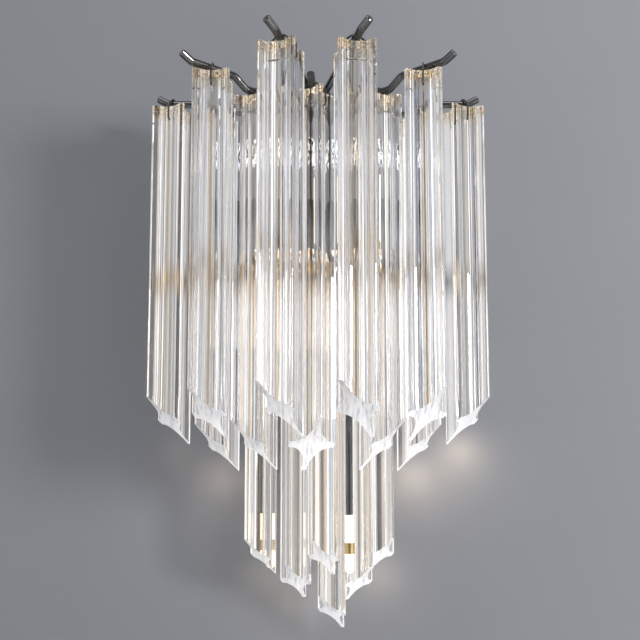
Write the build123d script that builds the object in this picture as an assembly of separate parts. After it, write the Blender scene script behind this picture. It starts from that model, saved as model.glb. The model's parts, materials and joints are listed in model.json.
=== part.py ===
"""Crystal wall sconce: four-lobed glass rods hung by wire bails on bent metal arms.

Millimetres. X runs to the right, +Z is up and the wall is the plane Y = 0, with the whole
light in front of it at negative Y. The origin is the middle of the wall bracket's back.
In the plan a place is given as (x, f), where f is the distance in front of the wall, and a
plan angle is counted from straight ahead, positive towards +X.
"""
from build123d import *
import os
from math import atan2, cos, degrees, radians, sin, sqrt

os.makedirs("parts", exist_ok=True)

# ---- wall side -------------------------------------------------------------------------
PLATE_W = 187.0            # mirror-polished cover, width
PLATE_H = 182.0            # and height
PLATE_D = 22.0             # and how far it stands off the wall
PLATE_WALL = 1.5
PLATE_CORNER = 3.0
BRACKET_W = 158.0
BRACKET_H = 150.0
BRACKET_T = 3.0
WALL_HOLE_R = 2.75
WALL_HOLE_X = 130.0        # spacing of the four wall holes across
WALL_HOLE_Z = 110.0        # and up
STUD_R = 2.0
STUD_X = 60.0              # cover studs, left and right of the middle
NUT_R = 5.0
NUT_SKIRT = 3.0
STUD_PROUD = 6.0           # stud length in front of the cover
STUD_CLEARANCE = 0.3       # round a stud in the cover's hole
GROMMET_Z = -46.0
GROMMET_R = 8.0
GROMMET_BORE_R = 5.0
GROMMET_FLANGE = 2.0
GROMMET_FLANGE_T = 1.5
TERMINAL_W = 34.0
TERMINAL_H = 14.0
TERMINAL_D = 11.0
TERMINAL_X = -34.0
TERMINAL_Z = -44.0
TERMINAL_BORE_R = 1.6
TERMINAL_PITCH = 10.6      # from one pole to the next
TERMINAL_CORNER = 1.5
EARTH_X = 34.0
EARTH_Z = -44.0
EARTH_R = 2.0
EARTH_HEAD_R = 3.8
EARTH_HEAD_H = 2.6
EARTH_SLOT_W = 0.9
EARTH_SLOT_DEPTH = 0.8

# ---- column, hub and galleries ------------------------------------------------------------
HUB_F = 63.0               # the column's distance in front of the wall
COLUMN_R = 7.0
COLUMN_BORE_R = 5.0
HUB_R = 22.0
HUB_SOCKET = 9.0
HUB_MARGIN = 7.0           # hub metal above and below the rods in it
HUB_CHAMFER = 1.2
COLUMN_CAP = 4.0           # solid metal at each end of the column
STANDOFF_R = 6.0
STANDOFF_BORE_R = 4.2
STANDOFF_TOP_Z = 62.0
UPPER_BAR_Z = 137.0        # mid-height of the upper gallery bar
UPPER_BAR_H = 28.0
LOWER_BAR_BOTTOM = 0.0
LOWER_BAR_H = 24.0
BAR_SOCKET = 2.0           # the lower standoff enters the bar this far
BAR_T = 12.0
UPPER_BAR_HALF = 84.0      # half the bar's straight width
LOWER_BAR_HALF = 60.0
BAR_BOW_R = 216.0          # bend radius of both bars, measured on their mid-line
RUNNING = 0.05             # clearance of a rod in its socket
OVERCUT = 1.0              # how far a cut runs past the face it opens

# ---- arms ---------------------------------------------------------------------------------
ROD_R = 4.0
ARM_HIGH_Z = 189.0         # rod height where the outer prisms hang
ARM_STEP = 10.0            # the inner stretch of a long arm lies this much lower
STEP_RUN = 14.0
TIP_LENGTH = 14.0
TIP_RISE = 27.0            # degrees
ROD_BEND_R = 9.0
TIP_CHAMFER = 0.8
END_ANGLE = 90.0           # plan angle of the two end arms
END_OUTER = 162.0          # hanging radii from the hub
END_INNER = 109.0
END_BEND = 5.0             # from the outer hanger to the upturned tip
DIAGONAL_ANGLE = 51.0
DIAGONAL_OUTER = 139.0
DIAGONAL_INNER = 84.0
DIAGONAL_BEND = 25.0
INNER_TO_STEP = 14.0       # from the inner hanger to the foot of the step
FRONT_ANGLE = 13.5         # the two front arms
FRONT_OUT = 152.2
FRONT_BEND = 21.0
FRONT_TIP_ANGLE = 40.0     # their tips turn outwards as well as up
FRONT_SOCKET = 4.0         # they enter the hub less far, one beside the other
CENTRE_ANGLE = -5.1
CENTRE_OUT = 67.3
CENTRE_BEND = 7.0

# ---- lower hooks ----------------------------------------------------------------------------
HOOK_HIGH_Z = 6.0
HOOK_LOW_Z = -9.0
HOOK_OVERRUN = 5.0         # from the hanger to the upturned tip
HOOK_TIP = 9.0
HOOK_SOCKET = 9.0
HOOK_BEND_R = 5.0

# ---- glass and bails ------------------------------------------------------------------------
UPPER_LOBE = 25.0          # section radius over a lobe, upper tier
UPPER_GROOVE = 12.0        # and at a groove
LOWER_LOBE = 18.5
LOWER_GROOVE = 9.0
LOBE_FLAT = 5.4            # width of a lobe's nose
LOBE_CROWN = 0.8
TOP_DROP = 7.0             # rod axis to the prism's top
HOLE_DEPTH = 15.0          # prism's top to the drilled hole
WIRE_R = 1.0
HOLE_CLEARANCE = 0.08
BAIL_GAP = 1.9             # wire to groove
BAIL_CORNER = 2.0
BAIL_SHOULDER = 5.0        # rod axis down to where the legs turn in
BAIL_APEX_R = 8.5
OUTER_LENGTH = 374.0
INNER_LENGTH = 393.0
LOWER_LENGTH = 329.0
MIDDLE_LENGTH = 341.0
LOWEST_LENGTH = 374.0

# ---- lamps ------------------------------------------------------------------------------------
HOLDER_R = 5.2
HOLDER_H = 10.0
HOLDER_CHAMFER = 0.8
CAPSULE_R = 4.5
TUBE_LAMP_H = 78.0         # glass of the two lamps on the lower gallery
CAPSULE_NECK = 3.0
CAPSULE_NECK_R = 3.6
UPPER_GLASS_H = 28.0       # a low lamp has glass above and below its brass collar
LOWER_GLASS_H = 20.0
COLLAR_H = 11.0
PENDANT_R = 3.5
PENDANT_BORE_R = 2.3
PENDANT_BEND_R = 14.0
PENDANT_LEFT_X = -52.0     # the left tube drops straight out of the lower gallery
PENDANT_LEFT_END_Z = -267.0
PENDANT_RIGHT_X = 38.0     # the right one leaves its front, runs level and then drops
PENDANT_RIGHT = (32.0, 106.5)
PENDANT_RIGHT_Z = 17.0
PENDANT_RIGHT_END_Z = -267.0
LAMP_LEFT = (-41.0, 41.5)  # lamp under the lower gallery
LAMP_RIGHT_X = 47.0        # lamp on top of the lower gallery

ARM_LOW_Z = ARM_HIGH_Z - ARM_STEP
HUB_BOTTOM = ARM_LOW_Z - HUB_MARGIN
HUB_TOP = ARM_HIGH_Z + HUB_MARGIN
LOWER_BAR_TOP = LOWER_BAR_BOTTOM + LOWER_BAR_H
LOWER_BAR_Z = LOWER_BAR_BOTTOM + LOWER_BAR_H / 2
BAR_F = HUB_F - COLUMN_R - BAR_T / 2       # bar mid-line in front of the wall, at X = 0


# ---- plan helpers -----------------------------------------------------------------------------
def ahead(angle):
    """Unit vector of a plan angle, as (x, f)."""
    return sin(radians(angle)), cos(radians(angle))


def polar(angle, distance):
    """A place in the plan at a distance from the hub."""
    x, f = ahead(angle)
    return x * distance, HUB_F + f * distance


def heading(start, end):
    """Plan angle from one place to another."""
    return degrees(atan2(end[0] - start[0], end[1] - start[1]))


def onward(place, angle, distance):
    x, f = ahead(angle)
    return place[0] + x * distance, place[1] + f * distance


def point(place, z):
    return Vector(place[0], -place[1], z)


def bar_line(x):
    """Mid-line of a bowed bar in the plan at x."""
    return x, BAR_F - (BAR_BOW_R - sqrt(BAR_BOW_R**2 - x**2))


def save(shape, name):
    export_step(shape, "parts/" + name + ".step")


# ---- rods ---------------------------------------------------------------------------------------
def rod(points, bend_r, radius=ROD_R, bore_r=0.0):
    """A round bar, or a tube, along straight runs with a bend at every corner."""
    path = FilletPolyline(*points, radius=bend_r) if len(points) > 2 else Polyline(*points)
    start = Plane(origin=path @ 0, z_dir=path % 0)
    solid = sweep(start * Circle(radius), path=path)
    if bore_r:
        solid -= sweep(start * Circle(bore_r), path=path)
    return solid


def tip_points(bend, angle, z, length):
    """The bend and the end of an upturned tip."""
    run = length * cos(radians(TIP_RISE))
    rise = length * sin(radians(TIP_RISE))
    return [point(bend, z), point(onward(bend, angle, run), z + rise)]


def ease_end(solid, end):
    """Chamfers the rim of the rod's end face at a given point."""
    face = solid.faces().sort_by_distance(end)[0]
    return chamfer(face.edges(), TIP_CHAMFER)


def stepped_arm(angle, inner, outer, bend):
    """A long arm: low inner stretch, a step, high outer stretch, upturned tip."""
    foot = inner + INNER_TO_STEP
    points = [
        point(polar(angle, HUB_R - HUB_SOCKET), ARM_LOW_Z),
        point(polar(angle, foot), ARM_LOW_Z),
        point(polar(angle, foot + STEP_RUN), ARM_HIGH_Z),
    ]
    points += tip_points(polar(angle, outer + bend), angle, ARM_HIGH_Z, TIP_LENGTH)
    return ease_end(rod(points, ROD_BEND_R), points[-1])


def straight_arm(start, angle, out, z, tip_angle):
    """An arm straight out of the hub, with an upturned tip that may turn aside."""
    points = [point(polar(angle, start), z)]
    points += tip_points(polar(angle, out), tip_angle, z, TIP_LENGTH)
    return ease_end(rod(points, ROD_BEND_R), points[-1])


def high_hook(root, hang):
    """A lower hook that leaves the gallery bar level with its mid-height."""
    angle = heading(root, hang)
    points = [point(root, HOOK_HIGH_Z)]
    points += tip_points(onward(hang, angle, HOOK_OVERRUN), angle, HOOK_HIGH_Z, HOOK_TIP)
    return ease_end(rod(points, HOOK_BEND_R), points[-1])


def low_hook(root, hang):
    """A lower hook that drops out of the gallery bar's underside first."""
    angle = heading(root, hang)
    points = [point(root, LOWER_BAR_BOTTOM + HOOK_SOCKET), point(root, HOOK_LOW_Z)]
    points += tip_points(onward(hang, angle, HOOK_OVERRUN), angle, HOOK_LOW_Z, HOOK_TIP)
    return ease_end(rod(points, HOOK_BEND_R), points[-1])


# ---- glass and bails ----------------------------------------------------------------------------
def star_section(lobe, groove):
    """Four-lobed section with hollow sides, lobes on the local axes."""
    half = LOBE_FLAT / 2
    shoulder = lobe - LOBE_CROWN
    valley = groove * cos(radians(45))
    nose = ThreePointArc((shoulder, -half), (lobe, 0), (shoulder, half))
    side = ThreePointArc((shoulder, half), (valley, valley), (half, shoulder))
    edges = []
    for turn in range(4):
        edges += [nose.rotate(Axis.Z, 90 * turn), side.rotate(Axis.Z, 90 * turn)]
    return make_face(Wire(edges))


def prism(lobe, groove, length, hole_turn):
    """Rod hung from its top at the local origin; its highest bottom lobe points to +X."""
    body = extrude(star_section(lobe, groove), amount=-length)
    slope = Plane(origin=(-lobe, 0, -length), x_dir=(1, 0, 1), z_dir=(-1, 0, 1))
    body = split(body, bisect_by=slope, keep=Keep.TOP)
    hole = Cylinder(WIRE_R + HOLE_CLEARANCE, 4 * lobe, rotation=(0, 90, 0))
    return body - Pos(0, 0, -HOLE_DEPTH) * Rot(0, 0, hole_turn) * hole


def bail(groove):
    """Wire loop in the local XZ plane with the rod's axis at the origin."""
    half = groove + BAIL_GAP + WIRE_R
    top = ROD_R + RUNNING + WIRE_R
    centre = top - BAIL_APEX_R
    drop = -BAIL_SHOULDER - centre
    spread = half**2 - BAIL_APEX_R**2
    root = sqrt(BAIL_APEX_R**4 * drop**2 + spread * BAIL_APEX_R**2 * (half**2 + drop**2))
    apex = centre + (root - BAIL_APEX_R**2 * drop) / spread
    crossing = -(TOP_DROP + HOLE_DEPTH)
    corners = [
        (-half, 0, crossing),
        (half, 0, crossing),
        (half, 0, -BAIL_SHOULDER),
        (0, 0, apex),
        (-half, 0, -BAIL_SHOULDER),
    ]
    radii = [BAIL_CORNER, BAIL_CORNER, BAIL_CORNER, BAIL_APEX_R, BAIL_CORNER]
    loop = FilletPolyline(*corners, radius=radii, close=True)
    start = Plane(origin=loop @ 0, z_dir=loop % 0)
    return sweep(start * Circle(WIRE_R), path=loop)


def hole_turn(lobe_angle, arm_angle):
    """Turn from the highest lobe to the groove that lies nearest to square across the arm."""
    def skew(turn):
        return abs((lobe_angle + turn - arm_angle) % 180 - 90)
    return min((45, -45), key=skew)


def hang(number, tier, place, arm_angle, lobe_angle, rod_z, length):
    """Writes one bail and one prism hanging at a place on an arm."""
    lobe = UPPER_LOBE if tier == "upper" else LOWER_LOBE
    groove = UPPER_GROOVE if tier == "upper" else LOWER_GROOVE
    turn = hole_turn(lobe_angle, arm_angle)
    glass = Rot(0, 0, lobe_angle - 90) * prism(lobe, groove, length, turn)
    wire = Rot(0, 0, lobe_angle + turn - 90) * bail(groove)
    save(Pos(*point(place, rod_z - TOP_DROP)) * glass, f"prism_{tier}_{number:02d}")
    save(Pos(*point(place, rod_z)) * wire, f"bail_{tier}_{number:02d}")
    axis = ahead(lobe_angle + turn)
    print(f"hang {tier}_{number:02d} x {place[0]:.3f} f {place[1]:.3f} z {rod_z:.1f}",
          f"arm {arm_angle:.3f} hole {axis[0]:.5f} {axis[1]:.5f} length {length:.1f}")


# ---- places of the prisms -------------------------------------------------------------------------
UPPER = [
    (polar(-END_ANGLE, END_OUTER), -END_ANGLE, -59.0, ARM_HIGH_Z, OUTER_LENGTH),
    (polar(-END_ANGLE, END_INNER), -END_ANGLE, -67.0, ARM_LOW_Z, INNER_LENGTH),
    (polar(-DIAGONAL_ANGLE, DIAGONAL_OUTER), -DIAGONAL_ANGLE, -46.0, ARM_HIGH_Z, OUTER_LENGTH),
    (polar(-DIAGONAL_ANGLE, DIAGONAL_INNER), -DIAGONAL_ANGLE, -67.0, ARM_LOW_Z, INNER_LENGTH),
    (polar(-FRONT_ANGLE, FRONT_OUT), -FRONT_ANGLE, -60.0, ARM_HIGH_Z, OUTER_LENGTH),
    (polar(CENTRE_ANGLE, CENTRE_OUT), CENTRE_ANGLE, 21.0, ARM_LOW_Z, INNER_LENGTH),
    (polar(FRONT_ANGLE, FRONT_OUT), FRONT_ANGLE, -39.5, ARM_HIGH_Z, OUTER_LENGTH),
    (polar(DIAGONAL_ANGLE, DIAGONAL_INNER), DIAGONAL_ANGLE, 64.0, ARM_LOW_Z, INNER_LENGTH),
    (polar(DIAGONAL_ANGLE, DIAGONAL_OUTER), DIAGONAL_ANGLE, 38.0, ARM_HIGH_Z, OUTER_LENGTH),
    (polar(END_ANGLE, END_INNER), END_ANGLE, 65.0, ARM_LOW_Z, INNER_LENGTH),
    (polar(END_ANGLE, END_OUTER), END_ANGLE, 59.5, ARM_HIGH_Z, OUTER_LENGTH),
]
# Lower tier: hanging place, x where its hook leaves the gallery bar, lobe angle, hook and length.
LOWER = [
    ((-61.0, 72.0), -42.0, -59.0, "high", LOWER_LENGTH),
    ((-24.0, 58.0), -30.0, -29.0, "low", MIDDLE_LENGTH),
    ((5.0, 88.0), 20.0, -37.0, "high", LOWER_LENGTH),
    ((14.5, 50.0), -7.0, -43.0, "low", LOWEST_LENGTH),
    ((43.0, 77.0), 33.0, 44.0, "low", MIDDLE_LENGTH),
    ((68.0, 46.0), 54.0, 40.0, "high", LOWER_LENGTH),
]

# ---- wall bracket and cover ---------------------------------------------------------------------
def wall_box(width, height, near, far):
    """A block between two distances in front of the wall."""
    return Pos(0, -(near + far) / 2, 0) * Box(width, far - near, height)


def across(x, z, radius, near, far):
    """A round bar square to the wall between two distances in front of it."""
    return Pos(x, -(near + far) / 2, z) * Cylinder(radius, far - near, rotation=(90, 0, 0))


wall_holes = [(sx * WALL_HOLE_X / 2, sz * WALL_HOLE_Z / 2) for sx in (-1, 1) for sz in (-1, 1)]
standoffs = [(STANDOFF_TOP_Z, HUB_F - COLUMN_R), (LOWER_BAR_Z, BAR_F - BAR_T / 2 + BAR_SOCKET)]

bracket = wall_box(BRACKET_W, BRACKET_H, 0, BRACKET_T)
bracket = fillet(bracket.edges().filter_by(Axis.Y), PLATE_CORNER)
for x, z in wall_holes:
    bracket -= across(x, z, WALL_HOLE_R, -OVERCUT, BRACKET_T + OVERCUT)
bracket -= across(0, GROMMET_Z, GROMMET_R, -OVERCUT, BRACKET_T + OVERCUT)
bracket -= across(EARTH_X, EARTH_Z, EARTH_R + RUNNING, -OVERCUT, BRACKET_T + OVERCUT)
for side in (-1, 1):
    bracket += across(side * STUD_X, 0, STUD_R, BRACKET_T / 2, PLATE_D + STUD_PROUD)
save(bracket, "wall_bracket")

cover = wall_box(PLATE_W, PLATE_H, 0, PLATE_D)
cover = fillet(cover.edges().filter_by(Axis.Y), PLATE_CORNER)
inner_w = PLATE_W - 2 * PLATE_WALL
inner_h = PLATE_H - 2 * PLATE_WALL
cover -= wall_box(inner_w, inner_h, -OVERCUT, PLATE_D - PLATE_WALL)
for side in (-1, 1):
    cover -= across(side * STUD_X, 0, STUD_R + STUD_CLEARANCE, 0, PLATE_D + OVERCUT)
for z, reach in standoffs:
    cover -= across(0, z, STANDOFF_R + RUNNING, 0, PLATE_D + OVERCUT)
save(cover, "mirror_backplate")

nuts = []
for side in (-1, 1):
    x = side * STUD_X
    skirt = across(x, 0, NUT_R, PLATE_D, PLATE_D + NUT_SKIRT)
    dome = Pos(x, -(PLATE_D + NUT_SKIRT), 0) * Sphere(NUT_R)
    dome = split(dome, bisect_by=Plane.XZ.offset(PLATE_D + NUT_SKIRT), keep=Keep.TOP)
    bore = across(x, 0, STUD_R + RUNNING, PLATE_D - OVERCUT, PLATE_D + STUD_PROUD + RUNNING)
    nuts.append(skirt + dome - bore)
save(Compound(children=nuts), "cover_nuts")

grommet = across(0, GROMMET_Z, GROMMET_R, 0, BRACKET_T)
flange_front = BRACKET_T + GROMMET_FLANGE_T
grommet += across(0, GROMMET_Z, GROMMET_R + GROMMET_FLANGE, BRACKET_T, flange_front)
grommet -= across(0, GROMMET_Z, GROMMET_BORE_R, -OVERCUT, flange_front + OVERCUT)
save(grommet, "cable_grommet")

block_at = BRACKET_T + TERMINAL_D / 2
block = Pos(TERMINAL_X, -block_at, TERMINAL_Z) * Box(TERMINAL_W, TERMINAL_D, TERMINAL_H)
block = fillet(block.edges().filter_by(Axis.Y), TERMINAL_CORNER)
for k in (-1, 0, 1):
    pole_x = TERMINAL_X + k * TERMINAL_PITCH
    wire_way = Cylinder(TERMINAL_BORE_R, TERMINAL_H + 2 * OVERCUT)
    block -= Pos(pole_x, -block_at, TERMINAL_Z) * wire_way
    block -= across(pole_x, TERMINAL_Z, TERMINAL_BORE_R, block_at, BRACKET_T + TERMINAL_D + OVERCUT)
save(block, "terminal_block")

earth = across(EARTH_X, EARTH_Z, EARTH_R, 0, BRACKET_T)
earth += across(EARTH_X, EARTH_Z, EARTH_HEAD_R, BRACKET_T, BRACKET_T + EARTH_HEAD_H)
slot = Box(2 * EARTH_HEAD_R + OVERCUT, 2 * EARTH_SLOT_DEPTH, EARTH_SLOT_W)
slot = Pos(EARTH_X, -(BRACKET_T + EARTH_HEAD_H), EARTH_Z) * slot
save(earth - slot, "earth_screw")

tubes = []
for z, reach in standoffs:
    tube = across(0, z, STANDOFF_R, BRACKET_T, reach)
    tube -= across(0, z, STANDOFF_BORE_R, BRACKET_T - OVERCUT, reach + OVERCUT)
    if z == STANDOFF_TOP_Z:
        tube -= Pos(0, -HUB_F, z) * Cylinder(COLUMN_R, 4 * STANDOFF_R)
    tubes.append(tube)
save(Compound(children=tubes), "standoff_tubes")

# ---- column, hub and galleries ------------------------------------------------------------------
column_height = HUB_BOTTOM - LOWER_BAR_BOTTOM
column = Cylinder(COLUMN_R, column_height)
column -= Cylinder(COLUMN_BORE_R, column_height - 2 * COLUMN_CAP)
column = Pos(0, -HUB_F, LOWER_BAR_BOTTOM + column_height / 2) * column
save(column, "column")


def bowed_bar(half_width, height, mid_z):
    """A flat bar bent to an arc in the plan, square-cut at both ends."""
    centre_f = BAR_F - BAR_BOW_R
    outer = Pos(0, -centre_f, mid_z) * Cylinder(BAR_BOW_R + BAR_T / 2, height)
    outer -= Pos(0, -centre_f, mid_z) * Cylinder(BAR_BOW_R - BAR_T / 2, height + 2 * OVERCUT)
    middle = Pos(0, -BAR_F, mid_z) * Box(2 * half_width, 2 * BAR_BOW_R, height + 2 * OVERCUT)
    return outer & middle


upper_bar = bowed_bar(UPPER_BAR_HALF, UPPER_BAR_H, UPPER_BAR_Z)
upper_bar -= Pos(0, -HUB_F, UPPER_BAR_Z) * Cylinder(COLUMN_R, UPPER_BAR_H + 2 * OVERCUT)
save(upper_bar, "upper_gallery")

lower_bar = bowed_bar(LOWER_BAR_HALF, LOWER_BAR_H, LOWER_BAR_Z)
lower_bar -= Pos(0, -HUB_F, LOWER_BAR_Z) * Cylinder(COLUMN_R, LOWER_BAR_H + 2 * OVERCUT)
lower_bar -= across(0, LOWER_BAR_Z, STANDOFF_R + RUNNING, 0, BAR_F - BAR_T / 2 + BAR_SOCKET)
for number, (place, root_x, lobe_angle, level, length) in enumerate(LOWER, start=1):
    root = bar_line(root_x)
    if level == "high":
        hook = high_hook(root, place)
        socket = [point(root, HOOK_HIGH_Z), point(place, HOOK_HIGH_Z)]
    else:
        hook = low_hook(root, place)
        socket = [point(root, LOWER_BAR_BOTTOM + HOOK_SOCKET), point(root, HOOK_LOW_Z)]
    save(hook, f"lower_hook_{number:02d}")
    lower_bar -= rod(socket, HOOK_BEND_R, ROD_R + RUNNING)

hub = Pos(0, -HUB_F, (HUB_BOTTOM + HUB_TOP) / 2) * Cylinder(HUB_R, HUB_TOP - HUB_BOTTOM)
hub = chamfer(hub.edges().filter_by(GeomType.CIRCLE), HUB_CHAMFER)
low_angles = (-END_ANGLE, -DIAGONAL_ANGLE, CENTRE_ANGLE, DIAGONAL_ANGLE, END_ANGLE)
sockets = [(angle, HUB_SOCKET, ARM_LOW_Z) for angle in low_angles]
sockets += [(side * FRONT_ANGLE, FRONT_SOCKET, ARM_HIGH_Z) for side in (-1, 1)]
for angle, depth, z in sockets:
    inside = point(polar(angle, HUB_R - depth), z)
    outside = point(polar(angle, HUB_R + OVERCUT), z)
    hub -= rod([inside, outside], ROD_BEND_R, ROD_R + RUNNING)
save(hub, "hub")

# ---- arms ---------------------------------------------------------------------------------------
end_arms = [stepped_arm(side * END_ANGLE, END_INNER, END_OUTER, END_BEND) for side in (-1, 1)]
save(Compound(children=end_arms), "end_arms")
diagonal_arms = [
    stepped_arm(side * DIAGONAL_ANGLE, DIAGONAL_INNER, DIAGONAL_OUTER, DIAGONAL_BEND)
    for side in (-1, 1)
]
save(Compound(children=diagonal_arms), "diagonal_arms")

front_arms = []
for side in (-1, 1):
    angle = side * FRONT_ANGLE
    out = FRONT_OUT + FRONT_BEND
    front_arms.append(
        straight_arm(angle=angle, start=HUB_R - FRONT_SOCKET, out=out, z=ARM_HIGH_Z,
                     tip_angle=side * FRONT_TIP_ANGLE))
save(Compound(children=front_arms), "front_arms")
centre_arm = straight_arm(HUB_R - HUB_SOCKET, CENTRE_ANGLE, CENTRE_OUT + CENTRE_BEND, ARM_LOW_Z,
                          CENTRE_ANGLE)
save(centre_arm, "centre_arm")

# ---- lamps ----------------------------------------------------------------------------------------
def lamp(place, z, up):
    """A holder and its capsule lamp, seated on each other, going up or down from z."""
    holder = Cylinder(HOLDER_R, HOLDER_H, align=(Align.CENTER, Align.CENTER, Align.MIN))
    holder = chamfer(holder.edges().group_by(Axis.Z)[-1], HOLDER_CHAMFER)
    neck = Cylinder(CAPSULE_NECK_R, CAPSULE_NECK, align=(Align.CENTER, Align.CENTER, Align.MIN))
    straight = TUBE_LAMP_H - CAPSULE_R - CAPSULE_NECK
    bulb = Cylinder(CAPSULE_R, straight, align=(Align.CENTER, Align.CENTER, Align.MIN))
    bulb = Pos(0, 0, CAPSULE_NECK) * bulb + Pos(0, 0, CAPSULE_NECK + straight) * Sphere(CAPSULE_R)
    capsule = Pos(0, 0, HOLDER_H) * (neck + bulb)
    turn = Rot(0, 0, 0) if up else Rot(180, 0, 0)
    at = Pos(*point(place, z))
    return at * turn * holder, at * turn * capsule


def low_lamp(place, z):
    """A lamp under a pendant tube: straight glass, a brass collar and a round-ended glass."""
    down = (Align.CENTER, Align.CENTER, Align.MAX)
    upper = Cylinder(CAPSULE_R, UPPER_GLASS_H, align=down)
    collar = Pos(0, 0, -UPPER_GLASS_H) * Cylinder(HOLDER_R, COLLAR_H, align=down)
    lower_z = -(UPPER_GLASS_H + COLLAR_H)
    straight = LOWER_GLASS_H - CAPSULE_R
    lower = Pos(0, 0, lower_z) * Cylinder(CAPSULE_R, straight, align=down)
    lower += Pos(0, 0, lower_z - straight) * Sphere(CAPSULE_R)
    at = Pos(*point(place, z))
    return at * collar, [at * upper, at * lower]


def pendant(points, straight_mouth):
    """A tube to a low lamp, and the cut for its seat in the gallery bar."""
    tube = rod(points, PENDANT_BEND_R, PENDANT_R, PENDANT_BORE_R)
    seat = rod([points[0], straight_mouth], PENDANT_BEND_R, PENDANT_R + RUNNING)
    return tube, seat


left_at = bar_line(PENDANT_LEFT_X)
left_points = [
    point(left_at, LOWER_BAR_BOTTOM + HOOK_SOCKET),
    point(left_at, PENDANT_LEFT_END_Z),
]
left_tube, left_seat = pendant(left_points, point(left_at, LOWER_BAR_BOTTOM - OVERCUT))
right_root = bar_line(PENDANT_RIGHT_X)
right_points = [
    point(right_root, PENDANT_RIGHT_Z),
    point(PENDANT_RIGHT, PENDANT_RIGHT_Z),
    point(PENDANT_RIGHT, PENDANT_RIGHT_END_Z),
]
right_way = heading(right_root, PENDANT_RIGHT)
right_mouth = point(onward(right_root, right_way, 2 * BAR_T), PENDANT_RIGHT_Z)
right_tube, right_seat = pendant(right_points, right_mouth)
save(Compound(children=[left_tube, right_tube]), "pendant_tubes")
save(lower_bar - left_seat - right_seat, "lower_gallery")

holders = []
glasses = []
for place, z in ((left_at, PENDANT_LEFT_END_Z), (PENDANT_RIGHT, PENDANT_RIGHT_END_Z)):
    collar, ends = low_lamp(place, z)
    holders.append(collar)
    glasses += ends
for place, z, up in ((LAMP_LEFT, LOWER_BAR_BOTTOM, False), (bar_line(LAMP_RIGHT_X), LOWER_BAR_TOP, True)):
    holder, capsule = lamp(place, z, up)
    holders.append(holder)
    glasses.append(capsule)
save(Compound(children=holders), "lamp_holders")
save(Compound(children=glasses), "lamp_capsules")

# ---- hanging glass --------------------------------------------------------------------------------
for number, (place, arm_angle, lobe_angle, rod_z, length) in enumerate(UPPER, start=1):
    hang(number, "upper", place, arm_angle, lobe_angle, rod_z, length)
for number, (place, root_x, lobe_angle, level, length) in enumerate(LOWER, start=1):
    rod_z = HOOK_HIGH_Z if level == "high" else HOOK_LOW_Z
    arm_angle = heading(bar_line(root_x), place)
    hang(number, "lower", place, arm_angle, lobe_angle, rod_z, length)
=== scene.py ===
"""Looks of the crystal wall sconce: glass rods, black nickel arms, mirror cover and lamps.

Metres, in the part's own frame: X to the right, +Z up, the wall at Y = 0 and the light in
front of it at negative Y.
"""
import json
import math

import bmesh
import bpy
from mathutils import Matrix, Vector


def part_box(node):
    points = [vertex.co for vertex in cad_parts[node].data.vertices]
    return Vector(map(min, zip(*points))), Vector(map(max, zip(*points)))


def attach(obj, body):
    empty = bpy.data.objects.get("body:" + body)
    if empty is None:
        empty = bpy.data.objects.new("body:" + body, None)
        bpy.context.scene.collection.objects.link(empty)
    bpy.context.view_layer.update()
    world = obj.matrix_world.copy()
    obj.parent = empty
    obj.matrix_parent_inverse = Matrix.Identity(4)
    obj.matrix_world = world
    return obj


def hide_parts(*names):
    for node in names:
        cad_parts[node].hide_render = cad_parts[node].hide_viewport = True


MM = 0.001

# ---- view ----------------------------------------------------------------------------------
VIEW_DISTANCE = 1.0367       # eye in front of the wall
EYE_HEIGHT = -0.238
LOOK_UP = 6.09               # degrees
LENS = 50.68
SHIFT_UP = 0.11
SHIFT_RIGHT = 0.003

# ---- room ----------------------------------------------------------------------------------
WALL_GREY = (0.216, 0.225, 0.249)
FLOOR_GREY = (0.78, 0.77, 0.75)
FLOOR_Z = -1.15
ROOM_SIZE = 7.0
WALL_GAP = 0.0003
WALL_MOTTLE = 0.04           # lighter and darker than the wall's grey
FACETS_PER_METRE = 240       # on the galleries
COVER_SPAN = (-91 * MM, 91 * MM)   # bottom and top edge of the mirror cover
# painted reflection: dark bands at the cover's bottom and top edges, light just above the bottom
# one, fading to mid grey, for the dark room the mirror reflects
PAINTED_REFLECTION_DARK = (0.02, 0.02, 0.022)
PAINTED_REFLECTION_MIDDLE = (0.2, 0.205, 0.22)
PAINTED_REFLECTION_LIGHT = (0.5, 0.52, 0.55)

LIT_MIDDLE = (0, -0.12, -0.05)
KEY_PLACE = (1.75, -1.55, 0.25)
KEY_SIZE = (0.4, 0.5)
KEY_WATTS = 36
KEY_COLOUR = (1.0, 0.98, 0.96)
TOP_PLACE = (0.15, -0.8, 1.35)
TOP_TARGET = (0, -0.1, 0.2)
TOP_SIZE = (1.6, 0.9)
TOP_WATTS = 8
SKY_COLOUR = (0.78, 0.8, 0.84, 1)
SKY_STRENGTH = 0.36
STRIP_HEIGHT = 1.9
STRIP_REACH = 1.5            # upright soft lamps on a half circle round the light
# angle from straight in front, width, watts
STRIPS = [(-80, 0.26, 2.5), (-52, 0.36, 2.4), (-28, 0.16, 0.9),
          (30, 0.18, 1.1), (55, 0.36, 2.9), (82, 0.26, 3.8)]
# watts of the small warm lamp below each of these crystals
GLOW_FEET = {"prism_upper_01": 0.003, "prism_upper_02": 0.011, "prism_upper_10": 0.022,
             "prism_upper_11": 0.024, "prism_lower_01": 0.006, "prism_lower_02": 0.006,
             "prism_lower_06": 0.012}
GLOW_OUT = 0.035             # in front of the wall
GLOW_SIZE = 0.02
GLOW_COLOUR = (1.0, 0.8, 0.58)

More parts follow.
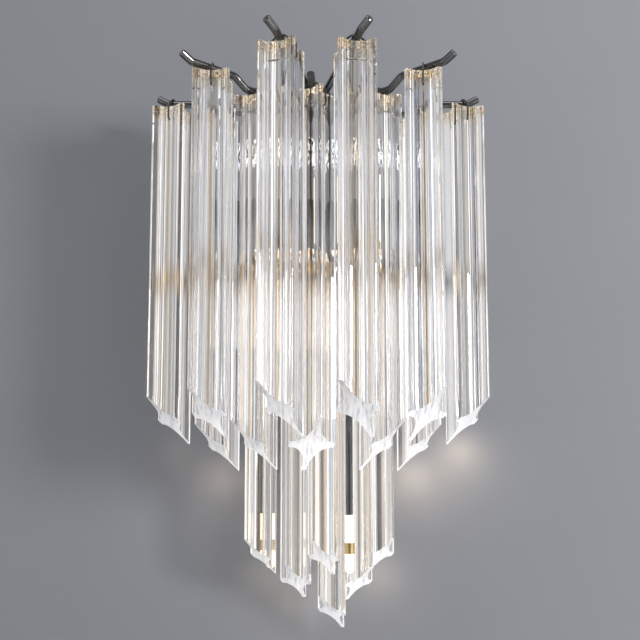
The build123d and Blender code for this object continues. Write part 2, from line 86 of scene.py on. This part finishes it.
# ---- glass ---------------------------------------------------------------------------------
RIM_BEVEL = 0.45 * MM
HOLE_ZONE = (10 * MM, 20 * MM)   # below the top, where the drilled hole is
FOOT_ZONE = 52 * MM              # above the lowest point, where the foot is cut
FOOT_NORMAL = (-0.75, -0.65)     # Z part of the cut foot's normal
FOOT_AREA = 1e-5
SHARP = math.radians(32)
RIM_ANGLE = math.radians(40)
LOBE_REACH = 0.97                # share of the section's reach that counts as a lobe's nose
RIM_TURN = math.radians(3)
UPRIGHT = 0.999                  # Z part of a lengthwise edge's direction
FLAT = math.radians(0.4)
GLASS_IOR = 1.5
GLASS_SHADOW = (0.5, 0.5, 0.5)   # share of the lamps' light that passes through
PAINTED_STREAKS_PER_METRE = 170
BANDS_PER_METRE = 120
GLINTS_PER_METRE = 700
GROOVE_LINE = (0.6 * MM, 0.9 * MM)   # half width of the painted amber reflection line along a groove
# painted reflections: blue-grey streaks for dark surroundings, amber streaks and groove lines for
# warm lamplight seen through the glass
GROOVE_PAINTED_WARM = (0.40, 0.24, 0.09)
CLEAR = (1.0, 1.0, 1.0)
STREAK_PAINTED_SHADE = (0.22, 0.27, 0.38)
STREAK_PAINTED_WARM = (0.56, 0.38, 0.20)
# painted highlight: colour of the white bands that give off light
BAND_PAINTED_HIGHLIGHT = (1.0, 0.99, 0.98)
INNER_GLOW = 0.09            # painted highlight: light given off by the white bands of the crystals in the middle
OUTER_GLOW = 0.20            # and of those at the sides
LOWER_GLOW = 0.20            # and of the lower tier
SIDE_CRYSTALS = ("prism_upper_01", "prism_upper_02", "prism_upper_10", "prism_upper_11")
HEAD_ZONE = (8 * MM, 15 * MM)    # below the top, where warm glints are painted on the glass
HEAD_GLINT_DARK = (0.14, 0.08, 0.03)
HEAD_GLINT_AMBER = (0.80, 0.50, 0.15)
FOOT_GLOW = 0.40                 # painted glow: light given off by the cut feet
FOOT_FADE = (12 * MM, 48 * MM)   # above the lowest point, where painted shade turns the foot grey
LAMP_GLOW = 1.2
# painted glints: light given off by the galleries' white and tinted facets
PAINTED_GLINT_GLOW = 1.1
WARM_LEVEL = -12 * MM           # height of the lamps behind the crystals
WARM_REACH = 24 * MM
# painted lamplight: warm glow in the glass at the lamps' height
PAINTED_WARM_GLOW = (1.0, 0.74, 0.42)


# ---- material helpers -----------------------------------------------------------------------
class Shader:
    """A node material with a Principled shader and a few short ways to wire it."""

    def __init__(self, name):
        self.material = bpy.data.materials.new(name)
        self.material.use_nodes = True
        self.tree = self.material.node_tree
        self.nodes = self.tree.nodes
        self.surface = self.nodes["Principled BSDF"]
        self.output = self.nodes["Material Output"]

    def set(self, **values):
        for name, value in values.items():
            socket = self.surface.inputs[name.replace("_", " ")]
            socket.default_value = (*value, 1) if isinstance(value, tuple) else value
        return self

    def add(self, kind, **values):
        node = self.nodes.new(kind)
        for name, value in values.items():
            if hasattr(node, name):
                setattr(node, name, value)
            else:
                node.inputs[name.replace("_", " ")].default_value = value
        return node

    def link(self, out, into):
        self.tree.links.new(out, into)

    def place(self, scale=(1, 1, 1)):
        """Object coordinates, stretched."""
        where = self.add("ShaderNodeTexCoord")
        stretch = self.add("ShaderNodeMapping", Scale=scale)
        self.link(where.outputs["Object"], stretch.inputs["Vector"])
        return stretch.outputs["Vector"]

    def noise(self, scale, stretch=(1, 1, 1), detail=2.0, roughness=0.5):
        node = self.add("ShaderNodeTexNoise", Scale=scale, Detail=detail, Roughness=roughness)
        self.link(self.place(stretch), node.inputs["Vector"])
        return node.outputs["Fac"]

    def ramp(self, factor, *stops):
        """A colour ramp from (position, colour) stops."""
        node = self.add("ShaderNodeValToRGB")
        elements = node.color_ramp.elements
        while len(elements) < len(stops):
            elements.new(0.5)
        for element, (position, colour) in zip(elements, stops):
            element.position = position
            element.color = (*colour, 1)
        self.link(factor, node.inputs["Fac"])
        return node.outputs["Color"]

    def span(self, value, low, high, to_low, to_high):
        node = self.add("ShaderNodeMapRange")
        for name, number in (("From Min", low), ("From Max", high),
                             ("To Min", to_low), ("To Max", to_high)):
            node.inputs[name].default_value = number
        self.link(value, node.inputs["Value"])
        return node.outputs["Result"]

    def bump(self, height, strength, distance):
        node = self.add("ShaderNodeBump", Strength=strength, Distance=distance)
        self.link(height, node.inputs["Height"])
        self.link(node.outputs["Normal"], self.surface.inputs["Normal"])

    def maths(self, kind, first, second=None):
        node = self.add("ShaderNodeMath", operation=kind)
        self.link(first, node.inputs[0])
        if second is not None:
            self.link(second, node.inputs[1])
        return node.outputs["Value"]

    def groove_line(self):
        """1 on a thin line along the bottom of each groove of a crystal, 0 elsewhere."""
        section = self.add("ShaderNodeAttribute", attribute_name="section")
        apart = self.add("ShaderNodeSeparateXYZ")
        self.link(section.outputs["Vector"], apart.inputs["Vector"])
        sides = [self.maths("ABSOLUTE", apart.outputs[axis]) for axis in "XY"]
        return self.span(self.maths("MINIMUM", *sides), *GROOVE_LINE, 1.0, 0.0)

    def let_light_through(self):
        """Light from the lamps passes straight through the piece, a little dimmed."""
        path = self.add("ShaderNodeLightPath")
        clear = self.add("ShaderNodeBsdfTransparent", Color=(*GLASS_SHADOW, 1))
        either = self.add("ShaderNodeMixShader")
        self.link(path.outputs["Is Shadow Ray"], either.inputs["Fac"])
        self.link(self.surface.outputs["BSDF"], either.inputs[1])
        self.link(clear.outputs["BSDF"], either.inputs[2])
        self.link(either.outputs["Shader"], self.output.inputs["Surface"])

    def blend(self, factor, first, second, how="MIX"):
        """Mixes two colours by a factor, or multiplies them."""
        node = self.add("ShaderNodeMix", data_type="RGBA", blend_type=how)
        for value, name in ((factor, "Factor_Float"), (first, "A_Color"), (second, "B_Color")):
            socket = next(s for s in node.inputs if s.identifier == name)
            if isinstance(value, (int, float)):
                socket.default_value = value
            elif isinstance(value, tuple):
                socket.default_value = (*value, 1)
            else:
                self.link(value, socket)
        return next(s for s in node.outputs if s.identifier == "Result_Color")


# ---- materials ------------------------------------------------------------------------------
def crystal_glass(name, tone, glow):
    """Drawn clear glass with painted lengthwise streaks and painted warm glints at its drilled
    head.

    Its white bands, painted highlights, and the warm zone at lamp height, painted lamplight, give
    off a little light of their own.
    """
    s = Shader(name)
    s.set(Roughness=0.0, IOR=GLASS_IOR, Transmission_Weight=1.0)
    # painted streaks: the glass's colour gets lengthwise blue-grey and amber lines
    painted_streaks = s.noise(1.0, (PAINTED_STREAKS_PER_METRE, PAINTED_STREAKS_PER_METRE, 0), detail=1.0)
    body = s.ramp(painted_streaks, (0.32, STREAK_PAINTED_SHADE), (0.37, CLEAR), (0.50, tone), (0.58, CLEAR),
                  (0.63, STREAK_PAINTED_WARM), (0.66, CLEAR))
    # painted glints: dark and amber specks near the drilled head
    glints = s.noise(GLINTS_PER_METRE, detail=1.0)
    painted_head_glints = s.ramp(glints, (0.40, HEAD_GLINT_DARK), (0.47, HEAD_GLINT_AMBER), (0.60, CLEAR))
    head = s.add("ShaderNodeAttribute", attribute_name="down")
    near_top = s.span(head.outputs["Fac"], HEAD_ZONE[0], HEAD_ZONE[1], 1.0, 0.0)
    # painted reflection: an amber line along each groove
    lined = s.blend(s.groove_line(), body, GROOVE_PAINTED_WARM)
    s.link(s.blend(near_top, lined, painted_head_glints), s.surface.inputs["Base Color"])
    # painted highlights: white lengthwise bands that give off light
    shine = s.noise(1.0, (BANDS_PER_METRE, BANDS_PER_METRE, 0), detail=0.0)
    bands = s.ramp(shine, (0.48, (0, 0, 0)), (0.52, BAND_PAINTED_HIGHLIGHT))
    # painted lamplight: a warm band that gives off light at the lamps' height
    apart = s.add("ShaderNodeSeparateXYZ")
    s.link(s.place(), apart.inputs["Vector"])
    below = s.span(apart.outputs["Z"], WARM_LEVEL - WARM_REACH, WARM_LEVEL, 0.0, 1.0)
    above = s.span(apart.outputs["Z"], WARM_LEVEL, WARM_LEVEL + WARM_REACH, 1.0, 0.0)
    warm = s.ramp(painted_streaks, (0.53, (0, 0, 0)), (0.57, PAINTED_WARM_GLOW))
    s.link(s.blend(s.maths("MULTIPLY", below, above), bands, warm),
           s.surface.inputs["Emission Color"])
    s.set(Emission_Strength=glow)
    s.let_light_through()
    return s.material


def sawn_glass():
    """The 45-degree foot: milky white with faint streaks, greyed by painted shade towards its upper
    tip, with a painted glow of its own.
    """
    s = Shader("sawn_foot_painted_glow_and_shade")
    s.set(IOR=GLASS_IOR, Transmission_Weight=0.2, Roughness=0.3)
    streaks = s.noise(1.0, (420, 60, 60), detail=2, roughness=0.6)
    rise = s.add("ShaderNodeAttribute", attribute_name="rise")
    # painted shade: greyer towards the foot's upper tip
    painted_shade_fade = s.span(rise.outputs["Fac"], *FOOT_FADE, 1.0, 0.55)
    white = s.blend(1.0, s.ramp(streaks, (0.34, (0.62, 0.62, 0.68)), (0.52, (1.0, 1.0, 1.0))),
                    painted_shade_fade, "MULTIPLY")
    s.link(white, s.surface.inputs["Base Color"])
    # painted glow: the foot gives off its own white light
    s.link(white, s.surface.inputs["Emission Color"])
    s.set(Emission_Strength=FOOT_GLOW)
    s.bump(s.noise(1.0, (900, 900, 260), detail=2), 0.1, 0.2 * MM)
    s.let_light_through()
    return s.material


def black_nickel():
    s = Shader("black_nickel_polish")
    s.set(Metallic=1.0)
    stain = s.noise(60, (1, 1, 1), detail=4)
    s.link(s.ramp(stain, (0.3, (0.13, 0.13, 0.135)), (0.7, (0.17, 0.168, 0.17))),
           s.surface.inputs["Base Color"])
    s.link(s.span(s.noise(240, detail=3), 0.3, 0.7, 0.05, 0.12), s.surface.inputs["Roughness"])
    s.bump(s.noise(900, detail=2), 0.03, 0.1 * MM)
    return s.material


def mirror_steel():
    s = Shader("mirror_painted_reflection")
    s.set(Metallic=1.0)
    apart = s.add("ShaderNodeSeparateXYZ")
    s.link(s.place(), apart.inputs["Vector"])
    height = s.span(apart.outputs["Z"], *COVER_SPAN, 0.0, 1.0)
    # painted reflection: the base colour runs dark, light, mid grey and dark again up the cover
    s.link(s.ramp(height, (0.035, PAINTED_REFLECTION_DARK), (0.055, PAINTED_REFLECTION_LIGHT), (0.80, PAINTED_REFLECTION_MIDDLE),
                  (0.88, PAINTED_REFLECTION_DARK)), s.surface.inputs["Base Color"])
    s.link(s.span(s.noise(36, (1, 1, 0.2), detail=5), 0.3, 0.75, 0.015, 0.07),
           s.surface.inputs["Roughness"])
    s.bump(s.noise(5, detail=1), 0.02, 1.0 * MM)
    return s.material


def painted_glint_bar(name, glint_tint):
    """Polished bar with small cut facets, painted as glints: near black, white or a given tint, the
    white and tinted ones giving off light.
    """
    s = Shader(name)
    s.set(Metallic=0.7, Roughness=0.08)
    cells = s.add("ShaderNodeTexVoronoi", Scale=FACETS_PER_METRE)
    s.link(s.place(), cells.inputs["Vector"])
    tint = s.add("ShaderNodeSeparateColor")
    s.link(cells.outputs["Color"], tint.inputs["Color"])
    # painted glints: near-black, white and tinted facets in the base colour
    s.link(s.ramp(tint.outputs["Red"], (0.42, (0.01, 0.01, 0.01)), (0.45, (0.9, 0.9, 0.92)),
                  (0.78, (0.95, 0.94, 0.92)), (0.81, glint_tint)),
           s.surface.inputs["Base Color"])
    # painted glints: the white and tinted facets give off light
    s.link(s.ramp(tint.outputs["Red"], (0.50, (0, 0, 0)), (0.53, (1.0, 1.0, 1.0)),
                  (0.78, (1.0, 0.98, 0.94)), (0.81, glint_tint)),
           s.surface.inputs["Emission Color"])
    s.set(Emission_Strength=PAINTED_GLINT_GLOW)
    s.bump(cells.outputs["Distance"], 0.9, 1.2 * MM)
    return s.material


def dark_wire():
    s = Shader("drawn_wire")
    s.set(Metallic=1.0)
    s.link(s.ramp(s.noise(300, (1, 1, 0.2)), (0.3, (0.06, 0.055, 0.05)), (0.7, (0.16, 0.14, 0.12))),
           s.surface.inputs["Base Color"])
    s.link(s.span(s.noise(500), 0.3, 0.7, 0.2, 0.38), s.surface.inputs["Roughness"])
    return s.material


def plated_sheet():
    s = Shader("zinc_plate")
    s.set(Metallic=1.0)
    spangle = s.add("ShaderNodeTexVoronoi", Scale=110)
    s.link(s.place(), spangle.inputs["Vector"])
    s.link(s.ramp(spangle.outputs["Distance"], (0.1, (0.5, 0.52, 0.54)), (0.8, (0.66, 0.67, 0.69))),
           s.surface.inputs["Base Color"])
    s.link(s.span(s.noise(80, detail=4), 0.3, 0.7, 0.25, 0.45), s.surface.inputs["Roughness"])
    return s.material


def turned_brass(name, light, dark):
    s = Shader(name)
    s.set(Metallic=1.0)
    s.link(s.ramp(s.noise(1.0, (30, 30, 900), detail=3), (0.3, dark), (0.7, light)),
           s.surface.inputs["Base Color"])
    s.link(s.span(s.noise(200), 0.3, 0.7, 0.14, 0.28), s.surface.inputs["Roughness"])
    return s.material


def moulded(name, light, dark, rough):
    s = Shader(name)
    s.link(s.ramp(s.noise(120, detail=4), (0.3, dark), (0.7, light)),
           s.surface.inputs["Base Color"])
    s.set(Roughness=rough)
    s.bump(s.noise(1500, detail=2), 0.08, 0.1 * MM)
    return s.material


def glowing_glass():
    """Frosted lamp capsule with a warm, slightly uneven glow."""
    s = Shader("lamp_glow")
    s.set(Roughness=0.4, Base_Color=(1.0, 0.9, 0.75), Emission_Strength=LAMP_GLOW)
    s.link(s.ramp(s.noise(50, detail=2), (0.3, (1.0, 0.74, 0.42)), (0.7, (1.0, 0.84, 0.6))),
           s.surface.inputs["Emission Color"])
    return s.material


# ---- crystals -------------------------------------------------------------------------------
def hard_edges(bm, turn):
    return [e for e in bm.edges if len(e.link_faces) == 2 and e.calc_face_angle(0) > turn]


def level_cut(bm, z):
    """A ring of edges round the rod at one height, so that its normals stay even."""
    bmesh.ops.bisect_plane(bm, geom=bm.verts[:] + bm.edges[:] + bm.faces[:], dist=0.001 * MM,
                           plane_co=(0, 0, z), plane_no=(0, 0, 1))


def lobe_turn(bm, middle):
    """Plan angle of the rod's lobes, from 0 to a quarter turn."""
    arms = [(v.co.x - middle.x, v.co.y - middle.y) for v in bm.verts]
    reach = max(math.hypot(*arm) for arm in arms)
    angles = [4 * math.atan2(y, x) for x, y in arms if math.hypot(x, y) > LOBE_REACH * reach]
    return math.atan2(sum(map(math.sin, angles)), sum(map(math.cos, angles))) / 4


def crystal(node, glass, foot):
    """A glass rod over a CAD rod: same shape, with eased rims and its own foot finish."""
    low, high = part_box(node)
    bm = bmesh.new()
    bm.from_mesh(frame["nodes"][node].data)
    bmesh.ops.remove_doubles(bm, verts=bm.verts, dist=0.002 * MM)
    bmesh.ops.dissolve_limit(bm, angle_limit=FLAT, verts=bm.verts, edges=bm.edges)
    for z in (high.z - 2 * RIM_BEVEL, high.z - HOLE_ZONE[0], high.z - HOLE_ZONE[1],
              low.z + FOOT_ZONE):
        level_cut(bm, z)

    def in_hole(edge):
        return all(HOLE_ZONE[0] < high.z - v.co.z < HOLE_ZONE[1] for v in edge.verts)

    rims = [edge for edge in hard_edges(bm, RIM_ANGLE) if not in_hole(edge)]
    bmesh.ops.bevel(bm, geom=rims, offset=RIM_BEVEL, offset_type="OFFSET", segments=2,
                    profile=0.5, material=-1, affect="EDGES", clamp_overlap=True)
    middle = (low + high) / 2
    spin = -lobe_turn(bm, middle) + math.radians(45)
    down = bm.verts.layers.float.new("down")
    rise = bm.verts.layers.float.new("rise")
    section = bm.verts.layers.float_vector.new("section")
    for vert in bm.verts:
        vert[down] = high.z - vert.co.z
        vert[rise] = vert.co.z - low.z
        x, y = vert.co.x - middle.x, vert.co.y - middle.y
        vert[section] = (x * math.cos(spin) - y * math.sin(spin),
                         x * math.sin(spin) + y * math.cos(spin), 0)
    for edge in bm.edges:
        turn = edge.calc_face_angle(0)
        run = (edge.verts[1].co - edge.verts[0].co).normalized()
        across = abs(run.z) < UPRIGHT and not in_hole(edge)
        edge.smooth = turn < (RIM_TURN if across else SHARP)
    for face in bm.faces:
        face.smooth = True
        if FOOT_NORMAL[0] < face.normal.z < FOOT_NORMAL[1] and face.calc_area() > FOOT_AREA:
            face.material_index = 1
    name = node.replace("prism", "crystal")
    mesh = bpy.data.meshes.new(name)
    bm.to_mesh(mesh)
    bm.free()
    mesh.materials.append(glass)
    mesh.materials.append(foot)
    piece = bpy.data.objects.new(name, mesh)
    bpy.context.scene.collection.objects.link(piece)
    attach(piece, node)
    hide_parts(node)
    return piece


# ---- stage ----------------------------------------------------------------------------------
def plane(name, size, corners):
    """A flat four-cornered stage sheet."""
    bm = bmesh.new()
    bm.faces.new([bm.verts.new(c) for c in corners])
    mesh = bpy.data.meshes.new(name)
    bm.to_mesh(mesh)
    bm.free()
    sheet = bpy.data.objects.new(name, mesh)
    bpy.context.scene.collection.objects.link(sheet)
    return sheet


def plaster():
    """Grey wall finish that is only there when seen from the room."""
    s = Shader("grey_plaster")
    darker = tuple(c * (1 - WALL_MOTTLE) for c in WALL_GREY)
    lighter = tuple(c * (1 + WALL_MOTTLE) for c in WALL_GREY)
    s.link(s.ramp(s.noise(2.2, detail=6), (0.3, darker), (0.7, lighter)),
           s.surface.inputs["Base Color"])
    s.set(Roughness=0.85)
    s.bump(s.noise(140, detail=5), 0.12, 0.4 * MM)
    side = s.add("ShaderNodeNewGeometry")
    clear = s.add("ShaderNodeBsdfTransparent")
    either = s.add("ShaderNodeMixShader")
    s.link(side.outputs["Backfacing"], either.inputs["Fac"])
    s.link(s.surface.outputs["BSDF"], either.inputs[1])
    s.link(clear.outputs["BSDF"], either.inputs[2])
    s.link(either.outputs["Shader"], s.output.inputs["Surface"])
    return s.material


def make_room():
    half = ROOM_SIZE / 2
    wall = plane("wall", ROOM_SIZE, [(-half, WALL_GAP, FLOOR_Z), (half, WALL_GAP, FLOOR_Z),
                                     (half, WALL_GAP, half), (-half, WALL_GAP, half)])
    wall.data.materials.append(plaster())
    floor = plane("floor", ROOM_SIZE, [(-half, -ROOM_SIZE, FLOOR_Z), (half, -ROOM_SIZE, FLOOR_Z),
                                       (half, half, FLOOR_Z), (-half, half, FLOOR_Z)])
    floor.data.materials.append(moulded("pale_floor", FLOOR_GREY, FLOOR_GREY, 0.7))


def panel(name, place, target, width, height, watts, colour=(1, 1, 1)):
    """A soft rectangular lamp aimed at a point."""
    data = bpy.data.lights.new(name, "AREA")
    data.shape = "RECTANGLE"
    data.size = width
    data.size_y = height
    data.energy = watts
    data.color = colour
    lamp = bpy.data.objects.new(name, data)
    lamp.location = place
    lamp.rotation_euler = (Vector(target) - Vector(place)).to_track_quat("-Z", "Y").to_euler()
    bpy.context.scene.collection.objects.link(lamp)


def light_room():
    panel("key", KEY_PLACE, LIT_MIDDLE, *KEY_SIZE, KEY_WATTS, KEY_COLOUR)
    panel("top", TOP_PLACE, TOP_TARGET, *TOP_SIZE, TOP_WATTS)
    for angle, width, watts in STRIPS:
        turn = math.radians(angle)
        place = (STRIP_REACH * math.sin(turn), -STRIP_REACH * math.cos(turn), 0.0)
        panel(f"strip_{angle:+03d}", place, LIT_MIDDLE, width, STRIP_HEIGHT, watts)
    world = bpy.data.worlds.new("studio")
    bpy.context.scene.world = world
    world.use_nodes = True
    back = world.node_tree.nodes["Background"]
    back.inputs["Color"].default_value = SKY_COLOUR
    back.inputs["Strength"].default_value = SKY_STRENGTH


def light_feet():
    """Small warm lamps on the wall below some feet, for the light that the rods guide down."""
    for node, watts in GLOW_FEET.items():
        low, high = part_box(node)
        x = (low.x + high.x) / 2
        panel("glow_" + node, (x, -GLOW_OUT, low.z), (x, 0, low.z - GLOW_OUT), GLOW_SIZE,
              GLOW_SIZE, watts, GLOW_COLOUR)


def make_camera():
    data = bpy.data.cameras.new("eye")
    data.sensor_width = 36
    data.lens = LENS
    data.shift_x = SHIFT_RIGHT
    data.shift_y = SHIFT_UP
    camera = bpy.data.objects.new("eye", data)
    camera.location = (0, -VIEW_DISTANCE, EYE_HEIGHT)
    camera.rotation_euler = (math.radians(90 + LOOK_UP), 0, 0)
    bpy.context.scene.collection.objects.link(camera)
    bpy.context.scene.camera = camera


# ---- the object -----------------------------------------------------------------------------
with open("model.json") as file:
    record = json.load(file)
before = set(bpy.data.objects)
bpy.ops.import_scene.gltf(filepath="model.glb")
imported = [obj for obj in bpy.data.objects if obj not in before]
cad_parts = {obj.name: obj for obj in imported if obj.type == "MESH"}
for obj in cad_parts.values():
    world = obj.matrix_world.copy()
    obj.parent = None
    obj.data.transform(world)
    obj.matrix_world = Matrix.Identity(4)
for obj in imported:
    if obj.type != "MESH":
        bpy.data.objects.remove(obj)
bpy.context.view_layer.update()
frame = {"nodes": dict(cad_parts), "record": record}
make_camera()
make_room()
light_room()
light_feet()

glasses = [
    crystal_glass("crystal_clear", (0.86, 0.89, 0.95), INNER_GLOW),
    crystal_glass("crystal_cool", (0.97, 0.94, 0.91), OUTER_GLOW),
    crystal_glass("crystal_warm", (0.99, 0.94, 0.86), LOWER_GLOW),
]
foot = sawn_glass()
for node in sorted(n for n in frame["nodes"] if n.startswith("prism")):
    upper = "upper" in node
    glass = glasses[2] if not upper else glasses[1 if node in SIDE_CRYSTALS else 0]
    piece = crystal(node, glass, foot)

finishes = {
    "black_nickel": black_nickel(),
    "mirror_steel": mirror_steel(),
    "bail_wire": dark_wire(),
    "zinc_steel": plated_sheet(),
    "lamp_glass": glowing_glass(),
    "lamp_brass": turned_brass("lamp_holder_brass", (0.8, 0.6, 0.3), (0.6, 0.42, 0.18)),
    "screw_brass": turned_brass("earth_brass", (0.8, 0.64, 0.33), (0.62, 0.46, 0.2)),
    "grommet_rubber": moulded("black_rubber", (0.03, 0.03, 0.032), (0.02, 0.02, 0.02), 0.7),
    "terminal_plastic": moulded("ivory_plastic", (0.8, 0.78, 0.7), (0.74, 0.72, 0.64), 0.45),
    "upper_crystal": glasses[1],
    "lower_crystal": glasses[1],
}
galleries = {"upper_gallery": painted_glint_bar("painted_glints_silver", (0.62, 0.65, 0.72)),
             "lower_gallery": painted_glint_bar("painted_glints_gold", (0.75, 0.45, 0.14))}
slots = {row["node"]: row["material_slot"] for row in frame["record"]["subparts"]}
for node, thing in frame["nodes"].items():
    finish = galleries[node] if node in galleries else finishes[slots[node]]
    for index in range(len(thing.material_slots)):
        thing.material_slots[index].material = finish

bpy.context.scene.view_settings.view_transform = "Standard"
